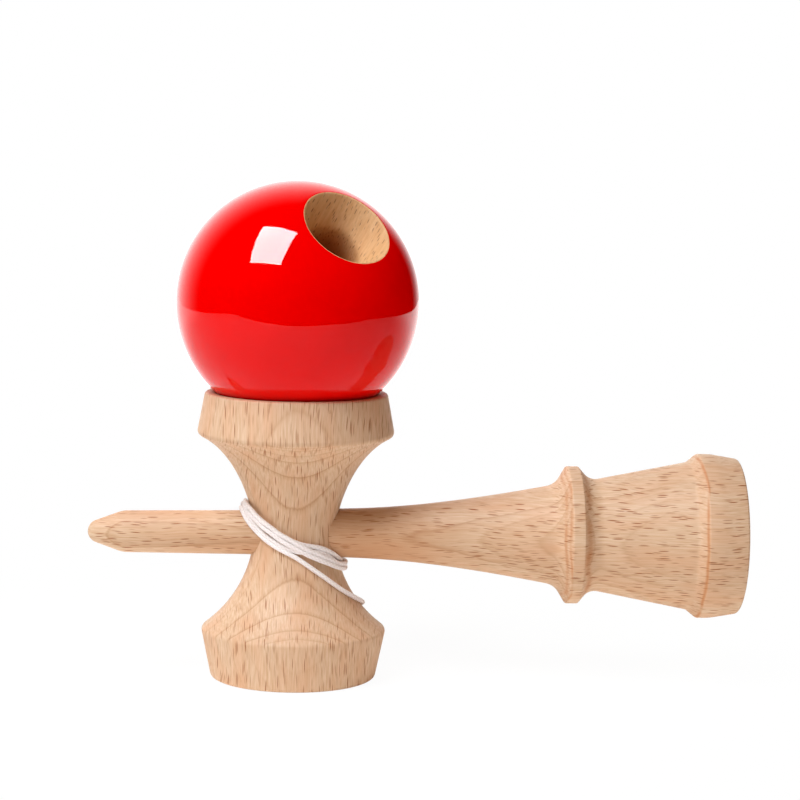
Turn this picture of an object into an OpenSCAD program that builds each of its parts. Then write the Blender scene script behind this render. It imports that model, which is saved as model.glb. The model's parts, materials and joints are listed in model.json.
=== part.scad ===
// Cup and ball toy: a turned handle with a spike and a base cup, a crosspiece
// with a cup at each end, and a ball on a string wound round the crosspiece.
// Millimetres. +Z is up along the crosspiece, +X runs along the handle towards
// its base cup, and the origin is the centre of the small cup's rim.

/* [Ball] */
// Diameter of the ball
ball_d = 60; // [57:0.5:63]
// Diameter of the hole that the spike goes into
spike_hole_d = 14; // [13:0.5:16]
// Depth of the spike hole below its mouth
spike_hole_depth = 40; // [38.5:0.5:41]
// Diameter of the bevelled mouth on the ball's surface
mouth_d = 22.2; // [19:0.2:25]
// Depth of the mouth's bevel
mouth_depth = 7.7; // [5:0.1:9]
// Height of the hole's direction above level, in degrees
hole_tilt = 44; // [42:0.5:46]
// Direction of the hole seen from above, in degrees from the handle
hole_heading = -56.5; // [-70:0.5:-40]
// Upright gap between the seated ball and the big cup
ball_gap = 0.15; // [0.05:0.05:0.3]

/* [Crosspiece] */
// Height from the small cup's rim to the big cup's rim
cross_h = 71; // [68:0.5:75]
// Height of the handle's axis above the small cup's rim
axis_h = 36; // [35:0.5:38]
// Least diameter of the waist that the string is wound on
waist_d = 20.3; // [19:0.1:24]
// Length of the straight waist above the handle's axis
waist_above = 0.5; // [0.3:0.1:4]
// Length of the straight waist below the handle's axis
waist_below = 0.4; // [0.3:0.1:4]
// Rounding of the two widest edges
edge_round = 2; // [1:0.1:3]

/* [Big cup] */
// Diameter of the big cup's widest edge, before rounding
big_edge_d = 49; // [47:0.1:52]
// Height of the lip between the widest edge and the rim
big_lip_h = 10.2; // [8:0.1:12]
// Outside diameter of the big cup's rim
big_rim_d = 45; // [43.5:0.1:46.5]
// Diameter of the hollow at the rim
big_mouth_d = 40.6; // [38:0.1:42]
// Depth of the hollow
big_depth = 8.8; // [8.6:0.1:12]
// Slope of the neck where it meets the widest edge, in degrees from upright
big_slope = 63.8; // [55:0.1:72]
// How far the neck keeps upright as it leaves the waist
big_pull_waist = 4.5; // [3:0.1:8]
// How far the neck keeps its slope below the widest edge
big_pull_edge = 11.2; // [6:0.1:13]
// Rounding of the rim's outer edge
big_rim_round = 0.8; // [0.4:0.1:1.2]

/* [Small cup] */
// Diameter of the small cup's widest edge, before rounding
small_edge_d = 46.2; // [44:0.1:49]
// Height of the lip between the rim and the widest edge
small_lip_h = 12.1; // [9:0.1:13]
// Outside diameter of the small cup's rim
small_rim_d = 40.8; // [39.5:0.1:43]
// Diameter of the hollow at the rim
small_mouth_d = 35.6; // [33:0.1:37]
// Depth of the hollow
small_depth = 7.6; // [7:0.1:10]
// Slope of the neck where it meets the widest edge, in degrees from upright
small_slope = 51.7; // [45:0.1:65]
// How far the neck keeps upright as it leaves the waist
small_pull_waist = 1.6; // [1:0.1:5]
// How far the neck keeps its slope above the widest edge
small_pull_edge = 16; // [8:0.1:18]
// Rounding of the rim's outer edge
small_rim_round = 0.4; // [0.3:0.1:1]

/* [Spike and seat] */
// Distance from the crosspiece's axis to the spike's tip
spike_reach = 51; // [48:0.5:53]
// Radius of the spike's rounded tip
tip_r = 2.9; // [2:0.1:3.5]
// Half angle of the spike's nose, in degrees
nose_angle = 20; // [15:1:30]
// Diameter of the spike behind its nose
spike_d = 10.3; // [9.6:0.1:10.6]
// Diameter of the tapered seat at the spike's side of the crosspiece
seat_d_spike = 10.9; // [10.7:0.1:11.2]
// Diameter of the tapered seat at the handle's side of the crosspiece
seat_d_handle = 12.16; // [11.8:0.02:12.6]
// Gap all round the seat in the crosspiece's bore
seat_gap = 0.03; // [0.02:0.01:0.08]

/* [Handle] */
// Distance from the crosspiece's axis to the base cup's rim
handle_reach = 110.5; // [106:0.5:114]
// Distance from the base cup's rim to the collar's middle
collar_back = 41.5; // [40:0.1:44]
// Diameter of the collar
collar_d = 34.2; // [32:0.1:36]
// Width of the collar's crown
collar_w = 2.8; // [2:0.1:4]
// Diameter of the grip where it meets the collar
grip_d = 25.2; // [23:0.1:27]
// Diameter of the neck behind the collar, before its cove
base_neck_d = 27.2; // [25:0.1:29]
// Diameter of the base where it meets its lip
base_d = 36.9; // [35:0.1:38]
// Largest diameter of the base cup's lip
base_lip_d = 41; // [39.5:0.1:43]
// Length of the base cup's lip
base_lip_l = 10; // [8:0.1:11]
// Outside diameter of the base cup's rim
base_rim_d = 38.7; // [37.5:0.1:40]
// Diameter of the base cup's hollow at the rim
base_mouth_d = 35.2; // [32:0.1:35.8]
// Depth of the base cup's hollow
base_depth = 14; // [8:0.1:15]

/* [String and bead] */
// Diameter of the string
string_d = 1.15; // [1:0.05:1.2]
// Diameter of the holes that the string runs through
string_hole_d = 2.6; // [2.2:0.1:3]
// Gap between the string and the wood that it lies on
string_gap = 0.16; // [0.15:0.01:0.2]
// Spacing of the turns round the waist
turn_pitch = 1.92; // [1.91:0.01:2]
// Number of turns side by side before the winding doubles back over itself
turns_per_layer = 2; // [2:1:2]
// Rise and fall of the turns, over the spike and under the handle
turn_rise = 7.1; // [7:0.05:7.6]
// Diameter of the bead inside the ball
bead_d = 7; // [6:0.1:8]
// Diameter of the pocket that holds the bead
bead_pocket_d = 10; // [9:0.1:11]
// Diameter of the two knots
knot_d = 3; // [2.6:0.1:3.2]
// Gap between the bead and its pocket's floor
bead_gap = 0.1; // [0.05:0.05:0.2]

/* [Hidden] */
$fa = 3;
$fs = 0.3;

beech = [0.80, 0.62, 0.45];
beech_dark = [0.76, 0.57, 0.40];
red_lacquer = [0.80, 0.05, 0.04];
white_string = [0.93, 0.91, 0.90];

ball_r = ball_d / 2;
waist_r = waist_d / 2;
hole_r = spike_hole_d / 2;
string_r = string_d / 2;
seat_half = waist_r + 2.2;

// The ball rests on the edge of the big cup's hollow
ball_z = cross_h + sqrt(ball_r * ball_r - pow(big_mouth_d / 2, 2)) + ball_gap;
ball_c = [0, 0, ball_z];
hole_dir = [cos(hole_tilt) * cos(hole_heading), cos(hole_tilt) * sin(hole_heading), sin(hole_tilt)];

// Places along the ball's hole, measured from the ball's centre towards the mouth
mouth_at = sqrt(ball_r * ball_r - pow(mouth_d / 2, 2));
bore_top = mouth_at - mouth_depth;
bore_floor = mouth_at - spike_hole_depth;
knot_l = knot_d + 0.4;
bead_floor = bore_floor - bead_d - knot_l - 0.3;
bead_at = bead_floor + bead_gap + bead_d / 2;
ball_knot_at = bead_at + bead_d / 2 + knot_l / 2 - 0.1;

// Handle knot: its pocket opens at the front of the seat
seat_mid_r = (seat_d_spike + seat_d_handle) / 4;
knot_pocket_d = knot_d + 1.4;
knot_pocket_depth = knot_l + 0.3;
handle_knot_y = -seat_mid_r + knot_pocket_depth - knot_l / 2;

collar_at = handle_reach - collar_back;
lip_at = handle_reach - base_lip_l;

function unit(v) = v / norm(v);

// A cubic curve from a to b that leaves along u and arrives along v
function curve(a, u, b, v, n) = [for (i = [0 : n]) let (t = i / n, s = 1 - t)
    s * s * s * a + 3 * s * s * t * (a + u) + 3 * s * t * t * (b - v) + t * t * t * b];

// The arc that rounds corner b, met along unit vector u and left along unit vector v
function corner(b, u, v, r, n) = let (
    w = atan2(u.x * v.y - u.y * v.x, u * v), s = sign(w), t = r * tan(abs(w) / 2),
    c = b - t * u + s * r * [-u.y, u.x], a = atan2(u.y, u.x) - s * 90)
    [for (i = [0 : n]) c + r * [cos(a + w * i / n), sin(a + w * i / n)]];

// An outline from [x, y, rounding] points, with each inner point rounded
function rounded(p) = [for (i = [0 : len(p) - 1]) let (b = [p[i][0], p[i][1]])
    if (i == 0 || i == len(p) - 1 || p[i][2] == 0) b
    else let (u = unit(b - [p[i - 1][0], p[i - 1][1]]), v = unit([p[i + 1][0], p[i + 1][1]] - b),
              w = abs(atan2(u.x * v.y - u.y * v.x, u * v)))
        each corner(b, u, v, p[i][2], max(2, ceil(w / 9)))];

// Radius of a ball-shaped hollow with this mouth and depth
function hollow_r(mouth_d, depth) = (mouth_d * mouth_d / 4 + depth * depth) / (2 * depth);

// One half of the crosspiece's outline, from the waist to the rim's land
function half_outline(from_z, edge_z, rim_z, edge_r, rim_r, land_r, slope, pull_waist, pull_edge, rim_round) =
    let (s = sign(rim_z - from_z), dir = [sin(slope), s * cos(slope)],
         lip = unit([rim_r, rim_z] - [edge_r, edge_z]),
         turn = abs(atan2(dir.x * lip.y - dir.y * lip.x, dir * lip)),
         back = edge_round * tan(turn / 2) + 0.2,
         end = [edge_r, edge_z] - back * dir)
    concat(curve([waist_r, from_z], [0, s * pull_waist], end, max(1, pull_edge - back) * dir, 14),
           corner([edge_r, edge_z], dir, lip, edge_round, 7),
           corner([rim_r, rim_z], lip, [-1, 0], rim_round, 5),
           [[land_r, rim_z]]);

big_half = half_outline(axis_h + waist_above, cross_h - big_lip_h, cross_h, big_edge_d / 2, big_rim_d / 2,
    big_mouth_d / 2, big_slope, big_pull_waist, big_pull_edge, big_rim_round);
small_half = half_outline(axis_h - waist_below, small_lip_h, 0, small_edge_d / 2, small_rim_d / 2,
    small_mouth_d / 2, small_slope, small_pull_waist, small_pull_edge, small_rim_round);

function reversed(p) = [for (i = [len(p) - 1 : -1 : 0]) p[i]];

cross_outline = concat([[0, 0]], reversed(small_half), big_half, [[0, cross_h]]);

// Outline of the handle as [radius, place along the handle], from the spike's tip
nose_end = -spike_reach + tip_r * (1 - sin(nose_angle))
    + (spike_d / 2 - tip_r * cos(nose_angle)) / tan(nose_angle);
grip_start = seat_half + 1.2;
grip_end = collar_at - collar_w / 2 - 5.1;
grip_start_r = seat_d_handle / 2 + 0.03;
nose = [for (a = [10 : 10 : 90 - nose_angle])
    [tip_r * sin(a), -spike_reach + tip_r * (1 - cos(a))]];
grip = curve([grip_start_r, grip_start], [0.4, 16.5], [grip_d / 2 - 0.5, grip_end], [2.9, 15.5], 16);
handle_outline = concat(
    [[0, -spike_reach]], nose,
    rounded(concat(
        [[nose[len(nose) - 1].x, nose[len(nose) - 1].y, 0], [spike_d / 2, nose_end, 8],
         [seat_d_spike / 2, -seat_half, 0], [seat_d_handle / 2, seat_half, 0]],
        [for (q = grip) [q.x, q.y, 0]],
        [[grip_d / 2, collar_at - collar_w / 2 - 2.7, 5],
         [collar_d / 2, collar_at - collar_w / 2, 0.9], [collar_d / 2, collar_at + collar_w / 2, 0.9],
         [base_neck_d / 2, collar_at + collar_w / 2 + 3, 5],
         [base_d / 2, lip_at - 2.5, 2.5], [base_lip_d / 2, lip_at, 1.3],
         [base_lip_d / 2, lip_at + 3, 14], [base_rim_d / 2, handle_reach, 0.8],
         [0, handle_reach, 0]])));

// Radius of the waist and necks at a height above the handle's axis
neck_table = [for (q = concat(reversed(small_half), big_half))
    if (q.y > small_lip_h + edge_round && q.y < cross_h - big_lip_h - edge_round) [q.y - axis_h, q.x]];
function neck_r(z) = lookup(z, neck_table);
function neck_slope(z) = (neck_r(z + 0.3) - neck_r(z - 0.3)) / 0.6;

// Winding: height above the handle's axis after a turn of a degrees from the back.
// The turns run over the spike on the left and under the handle on the right.
// Later turns cross over the first ones on the left and lie beside them elsewhere,
// and the last one runs on down the flare and round the back.
last_front = 180 + 360 * 3;
wind_end = last_front + 170;
first_offset = 0.83;
function smooth(x) = let (t = min(1, max(0, x))) t * t * (3 - 2 * t);
function leftness(a) = pow((1 + sin(a)) / 2, 8);
function backness(a) = pow((1 + cos(a)) / 2, 4);
function layer(a) = smooth((a / 360 - 1.5) / 0.5);
function run_down(a) = let (w = max(0, a - last_front) * PI / 180, e = max(0, w - PI / 2), m = min(w, PI / 2))
    m * (1 + 0.064 * m) + 1.2 / 3.5 * (1 - exp(-3.5 * e));
function wind_z(a) = let (k = min(a, last_front), n = k / 360)
    turn_rise * sin(k) - turn_pitch * (n - first_offset) - turn_pitch * first_offset * backness(k)
    + turns_per_layer * turn_pitch * leftness(k) * layer(k) - turn_rise * run_down(a);
function wind_lift(a) = let (k = min(a, last_front), over = max(0, 1 - 2 * leftness(k) * layer(k)))
    turn_pitch * sqrt(1 - over * over);
function wind_point(a) = let (z = wind_z(a), s = neck_slope(z),
    r = neck_r(z) + (string_r + string_gap) * sqrt(1 + s * s) + wind_lift(a))
    [-r * sin(a), r * cos(a), axis_h + z];

// Start of the winding: straight from the handle's knot, then a bend on to the waist
bend_r = 2.4 * string_d;
bend_top = waist_r + string_r + string_gap + 0.5;
bend_clear = 24;
bend_dir = unit([-1, 0, wind_z(bend_clear) / ((waist_r + string_r) * sin(bend_clear))]);
wind_start = concat(
    [for (y = [handle_knot_y + knot_l / 2 - 0.3, 0, 5, bend_top - bend_r - 0.6]) [0, y, axis_h]],
    [for (t = [0 : 15 : 75]) [0, bend_top - bend_r + bend_r * sin(t), axis_h] + bend_r * (1 - cos(t)) * bend_dir]);
wind_turns = [for (a = [bend_clear : 15 : wind_end]) wind_point(a)];
wind_dir = unit(wind_turns[len(wind_turns) - 1] - wind_turns[len(wind_turns) - 2]);
wind_stop = wind_turns[len(wind_turns) - 1] + string_d * wind_dir;
wind_path = concat(wind_start, wind_turns, [wind_stop]);

// Least gap between turns, on points a fifth of a step apart and over a quarter turn away
wind_fine = [for (i = [0 : len(wind_path) - 2]) for (t = [0 : 0.2 : 0.8])
    wind_path[i] + t * (wind_path[i + 1] - wind_path[i])];
self_gap = min([for (i = [0 : len(wind_fine) - 32]) for (j = [i + 31 : len(wind_fine) - 1])
    norm(wind_fine[i] - wind_fine[j])]) - string_d;
echo(str("least gap of the winding to itself, mm: ", self_gap));

// Route of the free string from the flare's back to the ball, chosen by hand
tail_points = [[0, 20.6, 16.4], [-2, 22.6, 14.4], [-3.2, 24.8, 11.8], [-4, 26.6, 10.2], [-4.8, 28.6, 10],
    [-5.6, 30.2, 11.4], [-6.2, 30.8, 14.4], [-6.8, 30.6, 20], [-7.6, 29.8, 28], [-8.6, 28.8, 36],
    [-9.6, 27.8, 44], [-11.4, 27, 52], [-13.6, 26, 59], [-15.2, 24.6, 64.4]];
end_gap = 0.1;
tail_start = wind_stop + end_gap * wind_dir;
tail_stop = ball_c - (ball_r + end_gap) * hole_dir;
tail_keys = concat([tail_start, tail_start + string_d * wind_dir], tail_points,
    [tail_stop - 4 * hole_dir, tail_stop - string_d * hole_dir, tail_stop]);

// A line through points, straight in its first and last stretch and smooth between them
function spline(p, n) = concat([p[0]], [for (i = [1 : len(p) - 3]) let (
    a = p[i], b = p[i + 1], u = (b - p[i - 1]) / 2, v = (p[i + 2] - a) / 2)
    each [for (k = [0 : n - 1]) let (t = k / n, t2 = t * t, t3 = t2 * t)
        (2 * t3 - 3 * t2 + 1) * a + (t3 - 2 * t2 + t) * u + (3 * t2 - 2 * t3) * b + (t3 - t2) * v]],
    [p[len(p) - 2], p[len(p) - 1]]);
tail_path = spline(tail_keys, 2);

function path_l(p) = len(p) < 2 ? 0 : [for (i = [1 : len(p) - 1]) norm(p[i] - p[i - 1])] * [for (i = [1 : len(p) - 1]) 1];
echo(str("string lengths, mm: winding ", path_l(wind_path), ", tail ", path_l(tail_path)));

// A round tube along a path, square to it at both ends
module tube(path, d, sides) {
    last = len(path) - 1;
    dirs = [for (i = [0 : last]) unit(path[min(last, i + 1)] - path[max(0, i - 1)])];
    first = unit(cross(dirs[0], abs(dirs[0].z) < 0.9 ? [0, 0, 1] : [1, 0, 0]));
    sides_of = [for (n = first, i = 0; i <= last;
        n = unit(n - (n * dirs[min(last, i + 1)]) * dirs[min(last, i + 1)]), i = i + 1) n];
    points = [for (i = [0 : last]) for (k = [0 : sides - 1]) let (c = 360 * k / sides)
        path[i] + d / 2 * (cos(c) * sides_of[i] + sin(c) * cross(dirs[i], sides_of[i]))];
    walls = [for (i = [0 : last - 1]) for (k = [0 : sides - 1]) let (
        a = i * sides + k, b = i * sides + (k + 1) % sides)
        each [[a, a + sides, b], [b, a + sides, b + sides]]];
    near_cap = [for (k = [1 : sides - 2]) [0, k, k + 1]];
    far_cap = [for (k = [1 : sides - 2]) [last * sides, last * sides + k + 1, last * sides + k]];
    polyhedron(points, concat(walls, near_cap, far_cap));
}

// Sets +Z along the ball's hole, with the ball's centre as origin
module along_hole() translate(ball_c) rotate([0, 90 - hole_tilt, hole_heading]) children();

// Sets +Z along the handle
module along_handle() translate([0, 0, axis_h]) rotate([0, 90, 0]) children();

// A stopper knot: three turns of string pulled tight
module knot() {
    coil = (knot_l - string_d) / 2;
    rotate_extrude() union() {
        for (k = [-1 : 1]) translate([knot_d / 2 - string_r, k * coil]) circle(string_r);
        translate([0, -coil - 0.3]) square([knot_d / 2 - string_r, 2 * coil + 0.6]);
    }
}

module handle() color(beech) difference() {
    along_handle() rotate_extrude() polygon(handle_outline);
    hollow = hollow_r(base_mouth_d, base_depth);
    translate([handle_reach - base_depth + hollow, 0, axis_h]) sphere(hollow);
    translate([0, 0, axis_h]) rotate([90, 0, 0]) cylinder(d = string_hole_d, h = seat_d_handle + 2, center = true);
    translate([0, -seat_mid_r + knot_pocket_depth, axis_h]) rotate([90, 0, 0])
        cylinder(d = knot_pocket_d, h = seat_d_handle);
}

module cup_crosspiece() color(beech) difference() {
    rotate_extrude() polygon(cross_outline);
    big = hollow_r(big_mouth_d, big_depth);
    small = hollow_r(small_mouth_d, small_depth);
    translate([0, 0, cross_h - big_depth + big]) sphere(big);
    translate([0, 0, small_depth - small]) sphere(small);
    along_handle() translate([0, 0, -seat_half])
        cylinder(r1 = seat_d_spike / 2 + seat_gap, r2 = seat_d_handle / 2 + seat_gap, h = 2 * seat_half);
    translate([0, 0, axis_h]) rotate([-90, 0, 0]) cylinder(d = string_hole_d, h = big_edge_d);
    translate([0, waist_r - 2.6, axis_h]) rotate([-90, 0, 0])
        cylinder(d1 = string_hole_d, d2 = string_hole_d + 2 * 3.6, h = 3.6);
}

module ball() difference() {
    color(red_lacquer) translate(ball_c) sphere(ball_r);
    color(beech_dark) along_hole() rotate_extrude() polygon([
        [0, ball_r + 1], [mouth_d / 2 + (ball_r + 1 - mouth_at) * (mouth_d / 2 - hole_r) / mouth_depth, ball_r + 1],
        [hole_r, bore_top], [hole_r, bore_floor], [bead_pocket_d / 2, bore_floor], [bead_pocket_d / 2, bead_floor],
        [string_hole_d / 2, bead_floor], [string_hole_d / 2, -ball_r - 1], [0, -ball_r - 1]]);
}

module bead() color(beech_dark) along_hole() translate([0, 0, bead_at]) difference() {
    sphere(bead_d / 2);
    cylinder(d = string_d + 0.4, h = bead_d + 1, center = true);
}

module ball_knot() color(white_string) along_hole() translate([0, 0, ball_knot_at]) knot();

module handle_knot() color(white_string) translate([0, handle_knot_y, axis_h]) rotate([90, 0, 0]) knot();

module string_winding() color(white_string) tube(wind_path, string_d, 6);

module string_tail() color(white_string) tube(tail_path, string_d, 8);

module string_end() color(white_string) along_hole() translate([0, 0, -ball_r])
    cylinder(d = string_d, h = ball_r + ball_knot_at - knot_l / 2 + 0.4);

handle();
cup_crosspiece();
ball();
bead();
ball_knot();
handle_knot();
string_winding();
string_tail();
string_end();
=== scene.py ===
import json
import math

import bpy
import numpy as np
from mathutils import Euler, Matrix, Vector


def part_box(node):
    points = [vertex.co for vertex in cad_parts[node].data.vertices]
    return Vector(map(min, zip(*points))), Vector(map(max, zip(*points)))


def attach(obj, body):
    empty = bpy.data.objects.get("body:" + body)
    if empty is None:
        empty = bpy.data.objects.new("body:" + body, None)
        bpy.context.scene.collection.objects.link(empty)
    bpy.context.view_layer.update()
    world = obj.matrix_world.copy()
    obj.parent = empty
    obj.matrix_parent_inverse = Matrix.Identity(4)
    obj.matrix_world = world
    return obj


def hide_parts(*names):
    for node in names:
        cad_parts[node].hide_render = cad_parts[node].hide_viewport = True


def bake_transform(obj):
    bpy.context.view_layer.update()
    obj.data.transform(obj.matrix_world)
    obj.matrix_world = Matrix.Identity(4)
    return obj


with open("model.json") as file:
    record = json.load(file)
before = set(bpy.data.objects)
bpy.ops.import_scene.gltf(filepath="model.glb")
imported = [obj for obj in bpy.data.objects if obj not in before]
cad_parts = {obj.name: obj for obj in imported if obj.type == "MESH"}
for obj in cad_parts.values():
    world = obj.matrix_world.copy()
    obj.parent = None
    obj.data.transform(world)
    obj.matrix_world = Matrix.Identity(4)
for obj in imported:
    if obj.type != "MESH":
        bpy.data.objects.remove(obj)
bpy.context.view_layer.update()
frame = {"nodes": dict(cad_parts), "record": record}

mm = 0.001  # sizes below are in millimetres until they go into a mesh
mounts = {mount["name"]: mount for mount in frame["record"]["mounts"]}
joints = {joint["name"]: joint for joint in frame["record"]["behaviour"]["joints"]}
ballCentre = np.array(joints["ball_roll"]["pos_m"]) / mm
holeAxis = np.array(mounts["spike_hole"]["axis"])
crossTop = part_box("cup_crosspiece")[1][2] / mm
handleLow, handleHigh = (np.array(corner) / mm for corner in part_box("handle"))
axisHeight = mounts["base_cup_rim"]["pos_m"][2] / mm
onAxis = np.array([0, 0, axisHeight])  # where the handle's axis meets the crosspiece's
print("frame: ball centre", ballCentre, "handle axis at", axisHeight)


# Small helpers for outlines, turned solids and tubes

def unit(v):
    v = np.asarray(v, float)
    return v / np.linalg.norm(v, axis=-1, keepdims=True)


def turnBetween(u, v):  # the signed angle from direction u to direction v
    return math.atan2(u[0] * v[1] - u[1] * v[0], np.dot(u, v))


# A cubic from a to b: it leaves a along u and reaches b along v
def cubicCurve(a, u, b, v, count):
    a, u, b, v = (np.asarray(p, float) for p in (a, u, b, v))
    t = np.linspace(0, 1, count)[:, None]
    s = 1 - t
    return s**3 * a + 3 * s * s * t * (a + u) + 3 * s * t * t * (b - v) + t**3 * b


# The arc of radius r that rounds corner b between the directions u and v
def roundCorner(b, u, v, r, count=9):
    u, v = unit(u), unit(v)
    turn = turnBetween(u, v)
    side = math.copysign(1, turn)
    centre = np.asarray(b, float) - r * math.tan(abs(turn) / 2) * u + side * r * np.array([-u[1], u[0]])
    first = math.atan2(u[1], u[0]) - side * math.pi / 2
    angle = first + turn * np.linspace(0, 1, count)
    return centre + r * np.stack([np.cos(angle), np.sin(angle)], 1)


# Straight lines through [x, y, radius] points, each inner corner rounded to its radius
def roundedLine(points):
    places = np.array([p[:2] for p in points], float)
    pieces = [places[:1]]
    for before, here, after, point in zip(places, places[1:], places[2:], points[1:]):
        r = point[2]
        pieces.append(roundCorner(here, here - before, after - here, r) if r else here[None])
    return np.concatenate(pieces + [places[-1:]])


def runningLength(path):  # the length from the first point to each point
    return np.concatenate([[0], np.cumsum(np.linalg.norm(np.diff(path, axis=0), axis=1))])


# Points along a line at even steps, by its running length
def evenSteps(path, step):
    run = runningLength(path)
    count = max(2, int(round(run[-1] / step)) + 1)
    places = np.linspace(0, run[-1], count)
    return np.stack([np.interp(places, run, path[:, k]) for k in range(path.shape[1])], 1)


# Adds points to long straight stretches of an outline so that its faces stay even
def fillLong(line, step):
    gaps = np.linalg.norm(np.diff(line, axis=0), axis=1)
    counts = np.maximum(1, np.ceil(gaps / step).astype(int))
    parts = [a + (b - a) * np.linspace(0, 1, n, endpoint=False)[:, None] for a, b, n in zip(line, line[1:], counts)]
    return np.concatenate(parts + [line[-1:]])


# A smooth line through keys, with the slope at each key taken from its neighbours
def smoothThrough(where, keys, values):
    keys, values = np.asarray(keys, float), np.asarray(values, float)
    slope = np.gradient(values, keys, axis=0)
    i = np.clip(np.searchsorted(keys, where, side="right") - 1, 0, len(keys) - 2)
    gap = (keys[i + 1] - keys[i])[:, None]
    t = (np.asarray(where)[:, None] - keys[i][:, None]) / gap
    return ((2 * t**3 - 3 * t**2 + 1) * values[i] + (t**3 - 2 * t**2 + t) * gap * slope[i]
            + (3 * t**2 - 2 * t**3) * values[i + 1] + (t**3 - t**2) * gap * slope[i + 1])


# A grid of rings joined by faces: rows run along the shape, columns round it.
# A row whose ring has shrunk to a point is closed with triangles.
def ringFaces(grid, loop=False):
    rows, columns = grid.shape[:2]
    pole = np.ptp(grid, axis=1).max(axis=1) < 1e-9
    size = np.where(pole, 1, columns)
    start = np.cumsum(size) - size
    index = start[:, None] + np.where(pole[:, None], 0, np.arange(columns)[None])
    verts = np.concatenate([row[:1] if flat else row for row, flat in zip(grid, pole)])
    here = np.arange(rows if loop else rows - 1)
    there = (here + 1) % rows
    a, d = index[here], index[there]
    b, c = np.roll(a, -1, 1), np.roll(d, -1, 1)
    rowOf = np.repeat(here[:, None], columns, 1)
    quads = np.stack([a, b, c, d], -1)
    first, last = pole[here], pole[there]
    whole = ~(first | last)
    faces = quads[whole].reshape(-1, 4).tolist()
    faces += quads[first][..., [0, 2, 3]].reshape(-1, 3).tolist()
    faces += quads[last][..., [0, 1, 2]].reshape(-1, 3).tolist()
    faceRows = np.concatenate([rowOf[whole].ravel(), rowOf[first].ravel(), rowOf[last].ravel()])
    return verts, faces, faceRows


# Turns an outline of [radius, height] points: point = origin + axis * height + radius * spoke
def turnedGrid(outline, origin, axis, around):
    axis = unit(axis)
    across = unit(np.cross(axis, [0, 1, 0] if abs(axis[1]) < 0.9 else [1, 0, 0]))
    angle = np.linspace(0, 2 * math.pi, around, endpoint=False)[:, None]
    spokes = np.cos(angle) * across + np.sin(angle) * np.cross(axis, across)
    outline = np.asarray(outline, float)
    return origin + outline[:, 1, None, None] * axis + outline[:, 0, None, None] * spokes[None]


def shadeMesh(mesh, sharpAngle):  # smooth, with edges over the angle kept sharp
    mesh.shade_smooth()
    mesh.set_sharp_from_angle(angle=math.radians(sharpAngle))


# Puts a grid into a mesh object, facing outwards by the sign of its volume
def makePiece(name, grid, materials, loop=False, materialOfRow=None, sharpAngle=40):
    verts, faces, faceRows = ringFaces(grid, loop)
    corners = np.array([f + f[-1:] * (4 - len(f)) for f in faces])
    p = verts[corners]
    volume = (np.einsum("ij,ij->i", p[:, 0], np.cross(p[:, 1], p[:, 2]))
              + np.einsum("ij,ij->i", p[:, 0], np.cross(p[:, 2], p[:, 3]))).sum()
    mesh = bpy.data.meshes.new(name)
    mesh.from_pydata(verts * mm, [], [f[::-1] for f in faces] if volume < 0 else faces)
    for material in materials:
        mesh.materials.append(material)
    if materialOfRow is not None:
        mesh.polygons.foreach_set("material_index", np.asarray(materialOfRow)[faceRows].astype(np.int32))
    shadeMesh(mesh, sharpAngle)
    piece = bpy.data.objects.new(name, mesh)
    bpy.context.scene.collection.objects.link(piece)
    return piece


# Cuts turned shapes out of a piece and keeps the result as its mesh
def cutAway(piece, cutters, sharpAngle=40):
    for cutter in cutters:
        cut = piece.modifiers.new(cutter.name, "BOOLEAN")
        cut.operation, cut.solver, cut.object = "DIFFERENCE", "EXACT", cutter
    shaped = piece.evaluated_get(bpy.context.evaluated_depsgraph_get())
    mesh = bpy.data.meshes.new_from_object(shaped)
    mesh.name = piece.name
    old, piece.data = piece.data, mesh
    piece.modifiers.clear()
    bpy.data.meshes.remove(old)
    for cutter in cutters:
        bpy.data.meshes.remove(cutter.data)
    shadeMesh(mesh, sharpAngle)


# Small helpers for materials

def hexColour(code):  # sRGB hex to a linear colour
    srgb = np.array([int(code[k:k + 2], 16) for k in (1, 3, 5)]) / 255
    linear = np.where(srgb <= 0.04045, srgb / 12.92, ((srgb + 0.055) / 1.055) ** 2.4)
    return (*linear.tolist(), 1.0)


# Adds one node: each input takes a socket to link, a hex colour or a plain value
def addNode(tree, kind, inputs=None, **settings):
    node = tree.nodes.new("ShaderNode" + kind)
    for key, value in settings.items():
        setattr(node, key, value)
    for key, source in (inputs or {}).items():
        if isinstance(source, bpy.types.NodeSocket):
            tree.links.new(source, node.inputs[key])
        else:
            node.inputs[key].default_value = hexColour(source) if isinstance(source, str) else source
    return node


def firstOut(node):  # the socket that carries a node's result
    return next(socket for socket in node.outputs if socket.enabled)


def calc(tree, operation, *inputs):  # one sum on numbers
    return firstOut(addNode(tree, "Math", dict(enumerate(inputs)), operation=operation))


def vectorCalc(tree, operation, *inputs):  # one sum on vectors
    return firstOut(addNode(tree, "VectorMath", dict(enumerate(inputs)), operation=operation))


# Maps a value from one range to another, evenly or with soft ends
def spread(tree, value, fromLow, fromHigh, toLow=0.0, toHigh=1.0, soft=False):
    inputs = {"Value": value, "From Min": fromLow, "From Max": fromHigh, "To Min": toLow, "To Max": toHigh}
    return firstOut(addNode(tree, "MapRange", inputs, interpolation_type="SMOOTHSTEP" if soft else "LINEAR"))


# The amount at a place along a value, falling softly to nothing at its reach
def nearness(tree, value, place, reach, amount):
    far = calc(tree, "ABSOLUTE", calc(tree, "SUBTRACT", value, place * mm))
    return spread(tree, far, reach * mm, 0.0, 0.0, amount, soft=True)


def mixColours(tree, share, first, second):  # first, turning into second with the share
    return firstOut(addNode(tree, "Mix", {"Factor": share, "A": first, "B": second}, data_type="RGBA"))


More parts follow.
